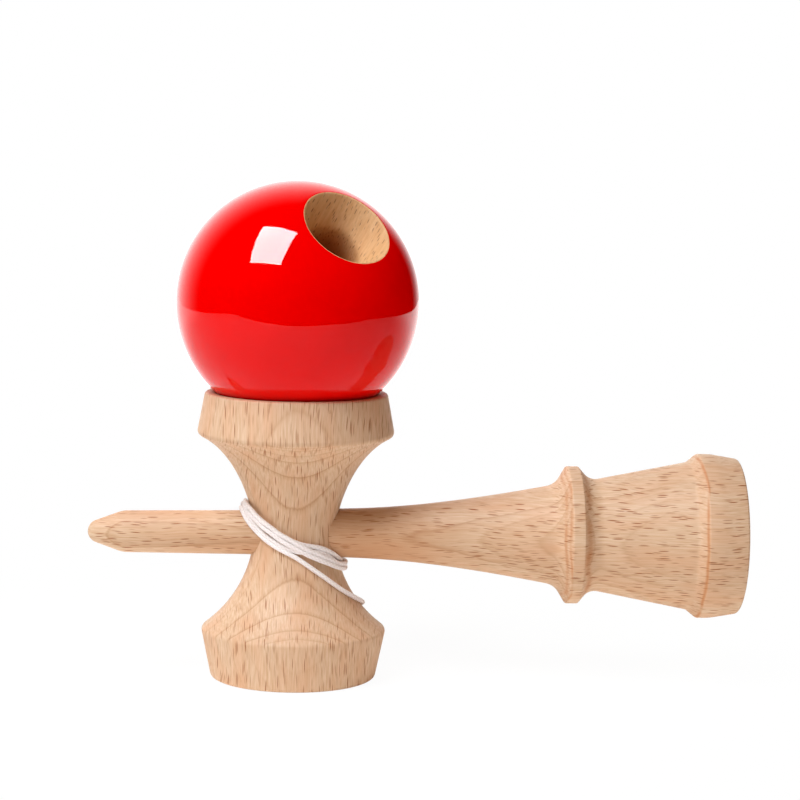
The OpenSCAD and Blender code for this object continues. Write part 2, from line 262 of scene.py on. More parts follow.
def noise(tree, vector, scale=1.0, detail=2.0, roughness=0.5):
    return addNode(tree, "TexNoise", {"Vector": vector, "Scale": scale, "Detail": detail, "Roughness": roughness})


def splitAxes(tree, vector):
    return addNode(tree, "SeparateXYZ", {"Vector": vector}).outputs


def newMaterial(name, values):  # values of the surface, by the name of the input
    material = bpy.data.materials.new(name)
    material.use_nodes = True
    shader = material.node_tree.nodes["Principled BSDF"]
    for key, value in values.items():
        shader.inputs[key].default_value = value
    return material, material.node_tree, shader


# Sanded beech: pale pink-brown wood with short dark ray flecks along the grain,
# thin growth lines where the turning has cut through the layers, and a dull, slightly satin surface
# The burnish colour also serves for painted shade in the crease right of the collar
beech = dict(pale="#e5caac", deep="#cba27d", rosy="#daa67f", fleck="#96501e", line="#a8703f", burnishAndShade="#bd7030",
             # Painted shade: this warm brown tone darkens the grip by the crosspiece and the ball's bore deep in its
             # hole
             paintedShadeTone="#c98a58", fibre=0.32, satin=0.52, gloss=0.08, relief=0.06)
# In the bore the shade tone is a deeper brown: painted shade deep in the hole
boreTones = dict(beech, pale="#e4bb8d", deep="#cd9c68", rosy="#cf955c", fleck="#6e3c18", paintedShadeTone="#a24e06",
                 fibre=0.45, relief=0.3)
# What all the beech shares, with sizes in millimetres: the sway of its grain, how far a fleck is dark,
# the fibres and the rosy bands, a growth line's edges, and how a burnished ring wavers and breaks
figure = dict(swaySize=18, sway=(2, 1.4, 0), fleckCore=0.5, fleckRare=0.1, fleckFaint=0.06, flatFrom=0.1, flatTo=0.55,
              fibreDepth=1.5, fibreLength=14, fibreDetail=3.0, fibreRough=0.6, fibreDark=0.23, fibrePale=0.77,
              band=(5, 5, 30), blushFrom=0.4, blushTo=0.8, blush=0.55, fray=0.5, lineReach=26,
              lineEdges=((0.18, 0.4), (0.04, 1.0), (-0.14, 0.0)), lineFade=2, lineFaint=0.3,
              waver=3.2, breakFrom=0.3, breakTo=0.6, breakLeft=0.25, fleckSink=0.35, bump=0.25)
# Sizes in millimetres: a fleck's cell across the grain, into the wood and along the grain,
# the share of its cell that a fleck fills, each growth line's depth from the middle with its strength,
# the width of a line's soft side, and the stretch along the grain where the lines are plain to see
crossGrain = dict(turn=(0.027, 0, 0), shift=(0, 0, 0), fleckCell=(0.31, 5.0, 6.2), fleckShare=0.4,
                  fleckTone=0.92, flatTone=0.35, softSide=-0.7, plainFrom=12.0, plainTo=58.2,
                  lines=((7.0, 0.3), (12.3, 0.55), (16.1, 0.55), (19.4, 0.5), (21.3, 0.35), (23.4, 0.4), (24.6, 0.9)))
handleGrain = dict(turn=(math.pi / 2, math.pi / 2 - 0.045, math.pi / 2), shift=(0, 1.2, 0),
                   fleckCell=(0.36, 4.0, 4.5), fleckShare=0.39, fleckTone=1.0, flatTone=0.35, softSide=1.3,
                   plainFrom=-90, plainTo=60, lines=((4.3, 0.5), (5.7, 0.3), (7.6, 0.3), (9.6, 0.25)))
boreGrain = dict(turn=(math.radians(20), math.radians(-30), 0), shift=(3, 5, 7), fleckCell=(0.36, 1.5, 2.6),
                 fleckShare=0.36, fleckTone=0.8, flatTone=0.8, lines=())


# How strongly a point lies in a growth line: a ramp over its depth, frayed by the fibres
def growthLines(tree, grain, turned, bent, fibres):
    frayed = calc(tree, "MULTIPLY_ADD", fibres, figure["fray"] * mm, splitAxes(tree, bent)["Y"])
    depth = calc(tree, "MULTIPLY", calc(tree, "ABSOLUTE", frayed), 1 / (figure["lineReach"] * mm))
    middle, half = (grain["plainFrom"] + grain["plainTo"]) / 2, (grain["plainTo"] - grain["plainFrom"]) / 2
    away = calc(tree, "ABSOLUTE", calc(tree, "SUBTRACT", splitAxes(tree, turned)["Z"], middle * mm))
    plain = spread(tree, away, half * mm, (half + figure["lineFade"]) * mm, 1.0, figure["lineFaint"], soft=True)
    sheets = addNode(tree, "ValToRGB", {"Fac": depth})
    stops = sheets.color_ramp.elements
    stops[0].color = stops[1].color = (0, 0, 0, 1)
    side = math.copysign(1, grain["softSide"])
    edges = [(grain["softSide"], 0.0)] + [(side * off, part) for off, part in figure["lineEdges"]]
    for at, strong in grain["lines"]:
        for off, part in edges:
            stops.new((at + off) / figure["lineReach"]).color = (part * strong, part * strong, part * strong, 1)
    return calc(tree, "MULTIPLY", sheets.outputs["Color"], plain)


def beechWood(name, grain, burnishAndCreaseShade=(), paintedShadeAt=None, tones=beech):
    material, tree, shader = newMaterial(name, {"Roughness": tones["satin"], "Specular IOR Level": tones["gloss"]})
    place = addNode(tree, "TexCoord").outputs
    turned = firstOut(addNode(tree, "Mapping", {"Vector": place["Object"], "Rotation": grain["turn"],
                                                "Location": tuple(s * mm for s in grain["shift"])}))
    sway = noise(tree, turned, 1 / (figure["swaySize"] * mm)).outputs
    bent = vectorCalc(tree, "MULTIPLY_ADD", vectorCalc(tree, "SUBTRACT", sway["Color"], (0.5, 0.5, 0.5)),
                      tuple(s * mm for s in figure["sway"]), turned)
    # ray flecks: one small blade in each cell, thin across and long with the grain, each of its own darkness
    cells = vectorCalc(tree, "MULTIPLY", bent, tuple(1 / (size * mm) for size in grain["fleckCell"]))
    blades = addNode(tree, "TexVoronoi", {"Vector": cells, "Scale": 1.0, "Randomness": 1.0}, feature="F1").outputs
    blade = spread(tree, blades["Distance"], grain["fleckShare"], grain["fleckShare"] * figure["fleckCore"], soft=True)
    chance = addNode(tree, "SeparateColor", {"Color": blades["Color"]}).outputs["Red"]
    strength = spread(tree, chance, figure["fleckRare"], 1.0, figure["fleckFaint"], grain["fleckTone"], soft=True)
    # on faces along the rays a blade lies flat in the surface, where it is broad and pale
    facing = calc(tree, "ABSOLUTE", splitAxes(tree, place["Normal"])["Y"])
    crossing = spread(tree, facing, figure["flatFrom"], figure["flatTo"], grain["flatTone"])
    flecks = calc(tree, "MULTIPLY", blade, calc(tree, "MULTIPLY", strength, crossing))
    # fibres: fine pale and dark streaks with the grain, over slow rosy bands
    fibreSize = (tones["fibre"], figure["fibreDepth"], figure["fibreLength"])
    streaks = vectorCalc(tree, "MULTIPLY", bent, tuple(1 / (size * mm) for size in fibreSize))
    fibres = noise(tree, streaks, 1.0, figure["fibreDetail"], figure["fibreRough"]).outputs["Fac"]
    tone = spread(tree, fibres, figure["fibreDark"], figure["fibrePale"])
    broad = vectorCalc(tree, "MULTIPLY", bent, tuple(1 / (size * mm) for size in figure["band"]))
    bands = noise(tree, broad, 1.0, 1.0).outputs["Fac"]
    blush = spread(tree, bands, figure["blushFrom"], figure["blushTo"], 0.0, figure["blush"])
    colour = mixColours(tree, blush, mixColours(tree, tone, tones["deep"], tones["pale"]), tones["rosy"])
    # growth lines: sheets across the depth, each a thin brown line with a softer side
    if grain["lines"]:
        colour = mixColours(tree, growthLines(tree, grain, turned, bent, fibres), colour, tones["line"])
    colour = mixColours(tree, flecks, colour, tones["fleck"])
    # burnished lines: the turning tool's rubbing has browned an uneven ring at steps of the handle; the ring in the
    # crease right of the collar is painted shade
    if burnishAndCreaseShade:
        waver = calc(tree, "MULTIPLY_ADD", sway["Fac"], figure["waver"] * mm, -figure["waver"] / 2 * mm)
        wavy = calc(tree, "ADD", splitAxes(tree, place["Object"])["X"], waver)
        broken = spread(tree, bands, figure["breakFrom"], figure["breakTo"], figure["breakLeft"])
        for at, width, amount in burnishAndCreaseShade:
            ringMark = calc(tree, "MULTIPLY", nearness(tree, wavy, at, width, amount), broken)
            colour = mixColours(tree, ringMark, colour, tones["burnishAndShade"])
    # painted shade along an axis: the grip goes warmer and darker by the crosspiece, where the ball and cups shade it,
    # and the bore browner deeper in the hole, where shade falls
    if paintedShadeAt:
        axis, centre, reach, amount = paintedShadeAt
        along = vectorCalc(tree, "DOT_PRODUCT", place["Object"], tuple(axis))
        colour = mixColours(tree, nearness(tree, along, centre, reach, amount), colour, tones["paintedShadeTone"])
    tree.links.new(colour, shader.inputs["Base Color"])
    relief = calc(tree, "MULTIPLY_ADD", flecks, -figure["fleckSink"], fibres)
    bump = addNode(tree, "Bump", {"Strength": figure["bump"], "Distance": tones["relief"] * mm, "Height": relief})
    tree.links.new(bump.outputs["Normal"], shader.inputs["Normal"])
    return material


# Red lacquer: a deep, even red under a hard clear gloss, with a faint orange peel.
# The coat's index is low, so that the middle of the ball mirrors the room only weakly
lacquer = dict(red="#ef0000", shade="#e20000", cloud=9, peel=2.2, peelDepth=0.02, peelStrength=0.05,
               roughness=0.3, coat=1.0, coatRoughness=0.025, coatIor=1.27)


def redLacquer():
    material, tree, shader = newMaterial("redLacquer", {
        "Roughness": lacquer["roughness"], "Specular IOR Level": 0.0, "Coat Weight": lacquer["coat"],
        "Coat Roughness": lacquer["coatRoughness"], "Coat IOR": lacquer["coatIor"]})
    place = addNode(tree, "TexCoord").outputs["Object"]
    cloud = noise(tree, place, 1 / (lacquer["cloud"] * mm)).outputs["Fac"]
    tree.links.new(mixColours(tree, cloud, lacquer["shade"], lacquer["red"]), shader.inputs["Base Color"])
    peel = noise(tree, place, 1 / (lacquer["peel"] * mm), 1.0).outputs["Fac"]
    bump = addNode(tree, "Bump", {"Strength": lacquer["peelStrength"], "Distance": lacquer["peelDepth"] * mm,
                                  "Height": peel})
    tree.links.new(bump.outputs["Normal"], shader.inputs["Coat Normal"])
    return material


# Braided cotton string: near white, soft and matt, with painted shade in the hollows of the braid
cotton = dict(pale="#fbf6f4", hollow="#efe6e3", hollowShadeTo=0.4, roughness=0.8, gloss=0.08,
              sheen=0.25, sheenRoughness=0.5)


# The braid's height: the sine of the turn round the string times the cosine of the way along it
def braidedCotton():
    material, tree, shader = newMaterial("braidedCotton", {
        "Roughness": cotton["roughness"], "Specular IOR Level": cotton["gloss"],
        "Sheen Weight": cotton["sheen"], "Sheen Roughness": cotton["sheenRoughness"]})
    braid = addNode(tree, "UVMap", uv_map="braid").outputs["UV"]
    turns = splitAxes(tree, vectorCalc(tree, "MULTIPLY", braid, (2 * math.pi, 2 * math.pi, 2 * math.pi)))
    weave = calc(tree, "MULTIPLY", calc(tree, "SINE", turns["X"]), calc(tree, "COSINE", turns["Y"]))
    # Painted shade: the braid's low parts take the darker hollow colour
    shade = spread(tree, weave, -1.0, cotton["hollowShadeTo"])
    tree.links.new(mixColours(tree, shade, cotton["hollow"], cotton["pale"]), shader.inputs["Base Color"])
    return material


crossBeech = beechWood("beechCrosspiece", crossGrain)
cottonString = braidedCotton()
ballRed = redLacquer()
print("materials: beech, lacquer and cotton made")


# Camera: the photograph's view, fitted to the model's own sizes
view = dict(place=(-15.72, -637.09, 142.93), yaw=3.708, pitch=-6.573, roll=1.077,
            focal=2600, picture=800, sensor=36, clipNear=0.01, clipFar=50)
cameraData = bpy.data.cameras.new("photoCamera")
cameraData.sensor_width = view["sensor"]
cameraData.lens = view["sensor"] * view["focal"] / view["picture"]
cameraData.clip_start, cameraData.clip_end = view["clipNear"], view["clipFar"]
camera = bpy.data.objects.new("photoCamera", cameraData)
aim = Euler((math.radians(90 + view["pitch"]), 0, -math.radians(view["yaw"]))).to_matrix()
aim = aim @ Matrix.Rotation(math.radians(view["roll"]), 3, "Z")
camera.matrix_world = Matrix.Translation(np.array(view["place"]) * mm) @ aim.to_4x4()
bpy.context.scene.collection.objects.link(camera)
bpy.context.scene.camera = camera


# Crosspiece outline: a straight waist, two flared necks, two lips, two ball-shaped hollows
cross = dict(height=crossTop, waist=20.3, waistAbove=0.5, waistBelow=0.4, mouthRound=0.4, edgeStraight=0.2,
             stringHole=2.6, holeFlare=3.6, flareDepth=2.6, seatSpike=10.9, seatHandle=12.16, seatGap=0.03,
             seatPast=2.2, borePast=6, around=224, boreAround=128, drillAround=64)
bigCup = dict(edge=48.8, lip=10.2, rim=45, mouth=40.6, depth=8.8, slope=61.8, pullWaist=4.5, pullEdge=12.2,
              edgeRound=1.4, rimRound=0.8)
smallCup = dict(edge=45.8, lip=12.1, rim=40.8, mouth=35.6, depth=7.6, slope=51.7, pullWaist=1.6, pullEdge=16,
                edgeRound=1.1, rimRound=1.1)
inwards = np.array([-1.0, 0.0])  # along a rim's flat, towards the axis
# How many points a curve gets, by what it shapes
curvePoints = dict(mouthEdge=7, hollow=40, neck=70, cupEdge=14, cupRim=9, ballEdge=9, ballExit=7, ballSkin=150,
                   spikeTip=14, grip=80, knot=400, stringEnd=60)


# A ball-shaped hollow from its rounded mouth edge to its middle: an arc about a centre on the axis
def hollowLine(mouth, depth, rim, inward, roundR):
    r = (mouth**2 / 4 + depth**2) / (2 * depth)
    centre = rim + inward * (depth - r)
    start = math.asin(mouth / 2 / r)
    entry = np.array([-math.cos(start), inward * math.sin(start)])
    edge = roundCorner([mouth / 2, rim], inwards, entry, roundR, curvePoints["mouthEdge"])
    cut = roundR * math.tan(abs(turnBetween(inwards, entry)) / 2)
    angle = np.linspace(start - cut / r, 0, curvePoints["hollow"])[1:]
    arc = np.stack([r * np.sin(angle), centre + inward * r * np.cos(angle)], 1)
    arc[-1, 0] = 0
    return np.concatenate([edge, arc])


# Half of the crosspiece from its waist to the middle of a hollow
def cupHalf(cup, fromZ, edgeZ, rimZ):
    up = math.copysign(1, rimZ - fromZ)
    edge, rim = np.array([cup["edge"] / 2, edgeZ]), np.array([cup["rim"] / 2, rimZ])
    slope = math.radians(cup["slope"])
    flare = np.array([math.sin(slope), up * math.cos(slope)])
    lip = unit(rim - edge)
    back = cup["edgeRound"] * math.tan(abs(turnBetween(flare, lip)) / 2) + cross["edgeStraight"]
    neck = cubicCurve([cross["waist"] / 2, fromZ], [0, up * cup["pullWaist"]], edge - back * flare,
                      max(1, cup["pullEdge"] - back) * flare, curvePoints["neck"])
    return neck, np.concatenate([
        roundCorner(edge, flare, lip, cup["edgeRound"], curvePoints["cupEdge"]),
        roundCorner(rim, lip, inwards, cup["rimRound"], curvePoints["cupRim"]),
        hollowLine(cup["mouth"], cup["depth"], rimZ, -up, cross["mouthRound"])])


bigNeck, bigEnd = cupHalf(bigCup, axisHeight + cross["waistAbove"], cross["height"] - bigCup["lip"], cross["height"])
smallNeck, smallEnd = cupHalf(smallCup, axisHeight - cross["waistBelow"], smallCup["lip"], 0)
neckTable = np.concatenate([smallNeck[::-1], bigNeck])
crossOutline = np.concatenate([smallEnd[::-1], neckTable, bigEnd])
seatHalf = cross["waist"] / 2 + cross["seatPast"]


def neckRadius(z):  # radius of the waist and necks at a height
    return np.interp(z, neckTable[:, 1], neckTable[:, 0])


# String route. Each row is [turn in degrees from the back, height above the handle's axis, lift off
# the wood]: every turn runs over the spike on the left and under the handle on the right.
string = dict(diameter=1.15, gap=0.06, hole=2.6, knot=3.0, knotLength=3.4, knotGap=0.3, knotCoils=3, knotLead=0.06,
              knotInto=0.4, straightAt=(0, 5), bend=2.6, bendSweep=83, bendStep=7.5, bendOver=0.15, bendAhead=0.6,
              turnStep=1.0, tailParts=36, tailInto=4, step=0.22, fineStep=0.1, around=16, braidPitch=1.1,
              braidStrands=4, relief=0.01, sharp=60)
innerTurn = [[30, 2.4, 0], [37, 3.25, 0], [45, 4.2, 0], [55, 5.3, 0], [65, 5.95, 0], [76, 6.2, 0], [90, 6.15, 0],
             [98, 5.9, 0], [106, 5.5, 0], [115, 5.0, 0], [126, 4.3, 0], [137, 3.4, 0], [144, 2.8, 0], [150, 2.1, 0],
             [156, 1.4, 0], [162, 0.7, 0], [170, 0.05, 0], [178, -0.55, 0], [187, -1.15, 0], [200, -1.7, 0],
             [216, -2.4, 0], [233, -3.8, 0], [252, -5.7, 0], [264, -6.55, 0], [276, -6.75, 0], [292, -5.9, 0],
             [315, -4.1, 0], [338, -2.6, 0]]
lowTurn = [[0, -1.8, 0], [16, -1.2, 0], [30, 0.5, 0], [45, 2.5, 0], [55, 4.2, 0], [65, 5.45, 0.25], [75, 6.1, 0.65],
           [90, 6.3, 0.8], [101, 5.6, 0.85], [108, 4.8, 0.8], [114, 3.85, 0.55], [119, 3.05, 0.2], [127, 1.85, 0],
           [140, 0.32, 0], [154, -0.95, 0], [163, -1.75, 0], [172, -2.35, 0], [182, -2.95, 0], [192, -3.15, 0],
           [204, -3.2, 0], [216, -3.55, 0], [228, -4.7, 0], [240, -6.3, 0], [254, -7.5, 0], [270, -7.6, 0],
           [282, -7.35, 0], [295, -6.6, 0], [310, -5.4, 0], [332, -4.1, 0]]
topTurn = [[0, -2.95, 0], [18, -2.1, 0], [32, -0.2, 0.3], [45, 2.4, 1.1], [55, 4.7, 1.15], [65, 6.4, 1.15],
           [75, 7.3, 0.65], [90, 7.8, 0.05], [100, 7.7, 0.3], [110, 7.3, 0.5], [119, 6.6, 0.65], [130, 5.1, 0.75],
           [140, 3.85, 0.75], [150, 2.7, 0.75], [159, 1.5, 0.75], [168, 0.6, 0.8], [177, -0.4, 0.95],
           [186, -1.4, 1.05], [195, -2.4, 0.8], [205, -3.4, 0.55], [215, -4.35, 0.5], [226, -5.35, 0.5],
           [243, -6.7, 0.7], [257, -7.15, 0.85], [270, -7.25, 0.9], [282, -7.4, 1.0], [295, -7.4, 1.0],
           [310, -7.0, 0.7], [332, -5.6, 0.2]]
secondTurn = [[0, -4.1, 0], [22, -2.8, 0], [45, 0.7, 0], [55, 2.9, 0.35], [65, 4.95, 1.2], [72, 6.1, 1.5],
              [80, 6.85, 1.15], [90, 7.0, 0.4], [98, 6.7, 0.45], [106, 6.2, 0.6], [114, 5.5, 0.7], [122, 4.6, 0.75],
              [129, 3.8, 0.75], [139, 2.5, 0.75], [149, 1.4, 0.75], [161, -0.1, 0.75], [168, -0.85, 0.75],
              [177, -1.75, 0.7], [186, -2.7, 0.6], [195, -3.7, 0.6], [205, -4.65, 0.65], [220, -5.95, 0.65],
              [236, -7.35, 0.65], [252, -8.2, 0.55], [270, -8.4, 0.5], [285, -8.5, 0.2], [305, -7.9, 0], [332, -6.5, 0]]
lastTurn = [[0, -5.2, 0], [22, -3.9, 0], [42, -1.0, 0], [55, 1.6, 0.2], [62, 3.1, 0.65], [68, 4.3, 1.1],
            [75, 5.45, 1.45], [83, 6.05, 1.55], [94, 6.05, 1.55], [102, 5.45, 1.6], [108, 4.5, 1.6], [113, 3.5, 1.45],
            [117, 2.5, 1.1], [121, 1.5, 0.6], [126, 0.65, 0.2], [132, -0.05, 0], [141, -0.85, 0], [154, -2.05, 0],
            [168, -3.2, 0], [177, -4.0, 0], [184, -4.8, 0], [195, -6.3, 0], [203, -7.5, 0], [212, -8.85, 0],
            [223, -10.7, 0], [236, -12.9, 0], [250, -14.9, 0], [262, -16.3, 0], [274, -17.5, 0], [292, -18.9, 0],
            [316, -19.6, 0], [334, -19.8, 0], [349, -19.85, 0]]
# The free tail, as places behind the crosspiece: down from the winding, round and up to the ball
tailPoints = [[0, 20.6, 16.4], [-2, 22.6, 14.4], [-3.2, 24.8, 11.8], [-4, 26.6, 10.2], [-4.8, 28.6, 10],
              [-5.6, 30.2, 11.4], [-6.2, 30.8, 14.4], [-6.8, 30.6, 20], [-7.6, 29.8, 28], [-8.6, 28.8, 36],
              [-9.6, 27.8, 44], [-11.4, 27, 52], [-13.6, 26, 59], [-15.2, 24.6, 64.4]]
stringR = string["diameter"] / 2
seatMid = (cross["seatSpike"] + cross["seatHandle"]) / 4
handleKnotY = -seatMid + string["knotGap"] + string["knotLength"] / 2


# A point of the winding: out from the wood at its height by the string's radius and its lift
def windingPoints(turn, height, lift):
    z, near = axisHeight + height, 0.3
    slope = (neckRadius(z + near) - neckRadius(z - near)) / (2 * near)
    r = neckRadius(z) + (stringR + string["gap"]) * np.sqrt(1 + slope**2) + lift
    angle = np.radians(turn)
    return np.stack([-r * np.sin(angle), r * np.cos(angle), z], 1)


def fineLine(keys):  # close points on a smooth line through places
    run = runningLength(keys)
    return smoothThrough(np.arange(0, run[-1], string["fineStep"]), run, keys)


turnKeys = np.concatenate([np.array(rows) + [360 * k, 0, 0] for k, rows in
                           enumerate((innerTurn, lowTurn, topTurn, secondTurn, lastTurn))])
turnAt = np.arange(turnKeys[0, 0], turnKeys[-1, 0] + string["turnStep"] / 2, string["turnStep"])
heightAndLift = smoothThrough(turnAt, turnKeys[:, 0], turnKeys[:, 1:])
turns = windingPoints(turnAt, heightAndLift[:, 0], np.maximum(heightAndLift[:, 1], 0))
# From the knot the string runs straight out and bends into its first turn, in the flare of its hole
bendR = string["bend"] * string["diameter"]
bendFrom = cross["waist"] / 2 + string["bendOver"] - bendR
bendDirection = unit(turns[0] - [0, turns[0][1], axisHeight])
sweep = np.radians(np.arange(0, string["bendSweep"], string["bendStep"]))[:, None]
straight = (handleKnotY + string["knotLength"] / 2 - string["knotGap"], *string["straightAt"],
            bendFrom - string["bendAhead"])
windStart = np.concatenate([
    [[0, y, axisHeight] for y in straight],
    np.array([0, bendFrom, axisHeight]) + bendR * np.sin(sweep) * np.array([0, 1, 0])
    + bendR * (1 - np.cos(sweep)) * bendDirection])
windEndStep = string["diameter"] * unit(turns[-1] - turns[-3])
windStop = turns[-1] + windEndStep
windFine = fineLine(np.concatenate([windStart, turns, [windStop]]))

# The ball's hole, measured from the ball's centre towards its mouth
ball = dict(radius=30, hole=14, holeDepth=40, mouth=22.2, mouthDepth=7.7, pocket=10, bead=7, edgeRound=0.5,
            exitRound=0.5, bevelRound=4, stepRound=0.3, floorRound=0.6, fill=1.5, stringOut=0.1,
            # Next: how far in, how wide and how strongly painted shade browns the bore deep in the hole
            shadeIn=6.5, shadeReach=8.5, shadeShare=0.8, around=240)
mouthAt = math.sqrt(ball["radius"]**2 - ball["mouth"]**2 / 4)
boreTop, boreFloor = mouthAt - ball["mouthDepth"], mouthAt - ball["holeDepth"]
beadFloor = boreFloor - ball["bead"] - string["knotLength"] - string["knotGap"]
ballKnotAt = beadFloor + ball["bead"] + string["knotLength"] / 2  # the knot sits on the bead
tailStop = ballCentre - (ball["radius"] + ball["stringOut"]) * holeAxis
tailFine = fineLine(np.concatenate([
    [windStop, windStop + windEndStep], tailPoints,
    [tailStop - string["tailInto"] * holeAxis, tailStop - string["diameter"] * holeAxis, tailStop]]))


# A braided tube along a line: rings square to it, their radius rising and falling with the braid.
# radius = r + relief * sin(strands * turn) * cos(along / pitch), closed to a point at both ends
def layString(name, path, steady):
    path = evenSteps(path, string["step"])
    along = unit(np.gradient(path, axis=0))
    side = unit(np.cross(along, steady))
    other = np.cross(along, side)
    rings, columns = len(path), string["around"]
    turn = np.linspace(0, 2 * math.pi, columns, endpoint=False)
    run = np.arange(rings) * string["step"] / string["braidPitch"]
    weave = np.sin(string["braidStrands"] * turn)[None] * np.cos(2 * math.pi * run)[:, None]
    radius = stringR + string["relief"] * weave
    spokes = np.cos(turn)[None, :, None] * side[:, None] + np.sin(turn)[None, :, None] * other[:, None]
    grid = path[:, None] + radius[..., None] * spokes
    ends = [np.repeat(path[:1, None], columns, 1), np.repeat(path[-1:, None], columns, 1)]
    piece = makePiece(name, np.concatenate([ends[0], grid, ends[1]]), [cottonString], sharpAngle=string["sharp"])
    # braid map: strands round the string, braid pitches along it, from each corner's nearest ring
    mesh = piece.data
    corner = np.empty(len(mesh.loops), np.int64)
    mesh.loops.foreach_get("vertex_index", corner)
    ring = np.clip((corner - 1) // columns, 0, rings - 1)
    column = (corner - 1) % columns
    first, count = np.empty(len(mesh.polygons), np.int64), np.empty(len(mesh.polygons), np.int64)
    mesh.polygons.foreach_get("loop_start", first)
    mesh.polygons.foreach_get("loop_total", count)
    width = np.maximum.reduceat(column, first) - np.minimum.reduceat(column, first)
    seam = np.repeat(width == columns - 1, count)
    column = np.where(seam & (column == 0), columns, column)  # the last column's faces close the round
    uv = np.stack([string["braidStrands"] * column / columns, run[ring]], 1)
    mesh.uv_layers.new(name="braid").data.foreach_set("uv", uv.astype(np.float32).ravel())
    return piece, path


winding, windPath = layString("stringWinding", windFine, [0, 0, 1])
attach(winding, "frame")
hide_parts("string_winding")

# The tail parts in two halfway up, where it hangs straight
split = int(np.argmax(tailFine[:, 2] > string["tailParts"]))
tailSteady = unit([0.5, 0.6, -0.6])
lowerTail, lowerPath = layString("stringTailLower", tailFine[:split + 1], tailSteady)
upperTail, upperPath = layString("stringTailUpper", tailFine[split:], tailSteady)
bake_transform(lowerTail)
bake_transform(upperTail)
for half in (lowerTail, upperTail):
    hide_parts("string_tail")

endSpan = np.linspace(-ball["radius"] - ball["stringOut"], ballKnotAt - string["knotLength"] / 2 + string["knotInto"],
                      curvePoints["stringEnd"])
stringEnd = layString("stringInsideBall", ballCentre + endSpan[:, None] * holeAxis, [1, 0, 0])[0]
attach(stringEnd, "string_knot")
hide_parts("string_end")


# A stopper knot: tight coils round the string, with both ends led into its middle
def tieKnot(name, centre, axis, steady):
    axis = unit(axis)
    side = unit(np.cross(axis, steady))
    t = np.linspace(0, 1, curvePoints["knot"])
    coil = (string["knot"] - string["diameter"]) / 2
    r = coil * np.clip(np.minimum(t, 1 - t) / string["knotLead"], 0, 1)
    rise = (string["knotLength"] - string["diameter"]) * (t - 0.5)
    angle = 2 * math.pi * string["knotCoils"] * t
    path = (centre + rise[:, None] * axis + (r * np.cos(angle))[:, None] * side
            + (r * np.sin(angle))[:, None] * np.cross(axis, side))
    return layString(name, path, axis)[0]


handleKnot = tieKnot("handleKnot", np.array([0, handleKnotY, axisHeight]), [0, 1, 0], [1, 0, 0])
ballKnot = tieKnot("ballKnot", ballCentre + ballKnotAt * holeAxis, holeAxis, [1, 0, 0])
for knot, body, node in ((handleKnot, "frame", "handle_knot"), (ballKnot, "string_knot", "ball_knot")):
    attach(knot, body)
    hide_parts(node)

bead = frame["nodes"]["bead"]
print("string: winding %.0f mm, tail %.0f mm"
      % (runningLength(windPath)[-1], runningLength(lowerPath)[-1] + runningLength(upperPath)[-1]))


# Ball: one closed outline about the hole's axis, lacquered outside and bare wood inside
def ballOutline():
    r, holeR, mouthR, pocketR = ball["radius"], ball["hole"] / 2, ball["mouth"] / 2, ball["pocket"] / 2
    exitR = string["hole"] / 2
    topAngle, bottomAngle = math.asin(mouthR / r), math.pi - math.asin(exitR / r)
    tangentTop = np.array([-math.cos(topAngle), math.sin(topAngle)])  # towards the mouth along the ball
    bevel = unit([holeR - mouthR, boreTop - mouthAt])
    lip = roundCorner([mouthR, mouthAt], tangentTop, bevel, ball["edgeRound"], curvePoints["ballEdge"])
    reach = np.linalg.norm(lip[0] - [mouthR, mouthAt]) / r
    tangentBottom = np.array([-math.cos(bottomAngle), math.sin(bottomAngle)])
    exitCorner = [exitR, r * math.cos(bottomAngle)]
    exitEdge = roundCorner(exitCorner, [0, -1], tangentBottom, ball["exitRound"], curvePoints["ballExit"])
    reachBottom = np.linalg.norm(exitEdge[-1] - exitCorner) / r
    angle = np.linspace(bottomAngle - reachBottom, topAngle + reach, curvePoints["ballSkin"])[1:-1]
    skin = np.stack([r * np.sin(angle), r * np.cos(angle)], 1)
    inside = roundedLine([[*lip[-1], 0], [holeR, boreTop, ball["bevelRound"]], [holeR, boreFloor, ball["stepRound"]],
                          [pocketR, boreFloor, ball["stepRound"]], [pocketR, beadFloor, ball["floorRound"]],
                          [exitR, beadFloor, ball["stepRound"]], [*exitEdge[0], 0]])
    inside = fillLong(inside, ball["fill"])
    bare = np.concatenate([np.zeros(len(skin) + 2), np.ones(len(lip) - 2 + len(inside) - 2 + len(exitEdge))])
    return np.concatenate([skin, lip, inside[1:-1], exitEdge]), bare


outline, bare = ballOutline()
# The bore's painted shade, browner deeper in the hole: its axis, middle, reach and share
boreShade = (holeAxis, ballCentre @ holeAxis + boreTop - ball["shadeIn"], ball["shadeReach"], ball["shadeShare"])
boreBeech = beechWood("beechDrilledBore", boreGrain, paintedShadeAt=boreShade, tones=boreTones)
bead.data.materials.clear()
bead.data.materials.append(boreBeech)  # the bead keeps the solid's own shape
ballPiece = makePiece("ballLacquered", turnedGrid(outline, ballCentre, holeAxis, ball["around"]), [ballRed, boreBeech],
                      loop=True, materialOfRow=bare)
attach(ballPiece, "ball")
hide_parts("ball")
print("ball: faces", len(ballPiece.data.polygons))

